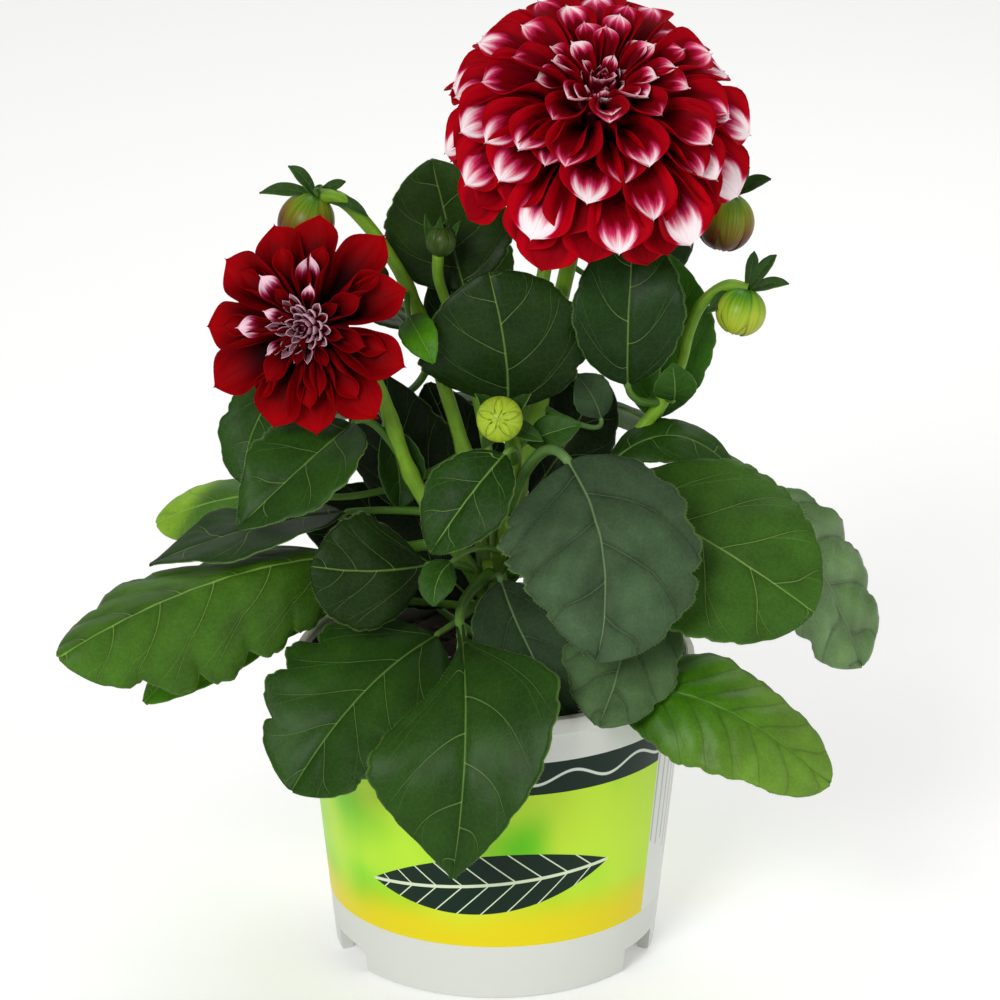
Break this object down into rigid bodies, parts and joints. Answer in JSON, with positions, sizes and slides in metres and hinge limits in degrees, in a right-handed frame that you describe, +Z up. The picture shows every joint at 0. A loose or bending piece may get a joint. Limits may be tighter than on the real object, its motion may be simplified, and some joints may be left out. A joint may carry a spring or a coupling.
{
  "type": "potted dwarf dahlia",
  "caption": "Dwarf dahlia in a round plastic nursery pot, with a domed two-tone bloom, a smaller open bloom, round buds on arched stems and broad drooping leaves",
  "frame": {"origin": "The middle of the plant and pot at the surface that the pot rests on, within 2 mm of the pot's own axis", "axes": "+Z is up along the pot's axis and is the longest extent; the front, with the small bloom on the left and the large one above on the right, faces -Y; +X is to the right seen from the front"},
  "size_m": [0.2658, 0.1826, 0.3105],
  "materials": {
    "pot": "satin",
    "soil": "matte",
    "stem": "satin",
    "leaf_dark": "satin",
    "leaf_grey_green": "matte",
    "leaf_bright": "satin",
    "petal_two_tone": "satin",
    "petal_red": "satin",
    "bud": "satin"
  },
  "bodies": {
    "root": {"pot": "pot", "soil": "soil", "main_stem": "stem", "shoot_large_bloom": "stem", "shoot_right_bud": "stem", "shoot_left_bud": "stem", "shoot_small_bloom": "stem", "shoot_upper_left_bud": "stem", "shoot_lower_right_bud": "stem", "shoot_front_bud": "stem", "leaf_low_front": "leaf_dark", "leaf_low_left": "leaf_dark", "leaf_long_left": "leaf_bright", "leaf_dark_left": "leaf_dark", "leaf_curled_left": "leaf_bright", "leaf_mid_left": "leaf_dark", "leaf_back_of_left": "leaf_dark", "leaf_round_left": "leaf_dark", "leaf_small_front": "leaf_dark", "leaf_dark_low": "leaf_grey_green", "leaf_large_front": "leaf_grey_green", "leaf_under_front": "leaf_grey_green", "leaf_large_right": "leaf_bright", "leaf_far_right": "leaf_grey_green", "leaf_low_right": "leaf_bright", "leaf_dark_right": "leaf_dark", "leaf_high_left": "leaf_dark", "leaf_centre": "leaf_dark", "leaf_high_right": "leaf_dark", "leaf_bright_right": "leaf_bright", "leaf_little_right": "leaf_dark", "leaf_little_left": "leaf_bright", "leaf_folded": "leaf_dark", "leaf_young_front": "leaf_dark", "leaf_under_left": "leaf_bright", "leaf_little_centre": "leaf_dark", "leaf_grey_centre": "leaf_grey_green", "leaf_behind_bloom": "leaf_grey_green", "leaf_little_upper": "leaf_dark", "leaf_dark_middle": "leaf_dark", "leaf_inner_left": "leaf_dark", "leaf_inner_right": "leaf_dark", "leaf_inner_low": "leaf_dark", "leaf_inner_middle": "leaf_dark", "leaf_rear_low": "leaf_dark", "leaf_rear_low_left": "leaf_dark", "leaf_rear_low_right": "leaf_dark", "leaf_rear_left": "leaf_dark", "leaf_rear_middle": "leaf_dark", "leaf_rear_right": "leaf_dark", "leaf_rear_high": "leaf_dark", "leaf_rear_high_left": "leaf_dark", "leaf_rear_high_right": "leaf_dark", "bloom_large": "petal_two_tone", "bloom_small": "petal_red", "bud_left": "bud", "bud_right": "bud", "bud_low_right": "bud", "bud_front": "bud", "bud_high_left": "bud"}
  },
  "joints": []
}
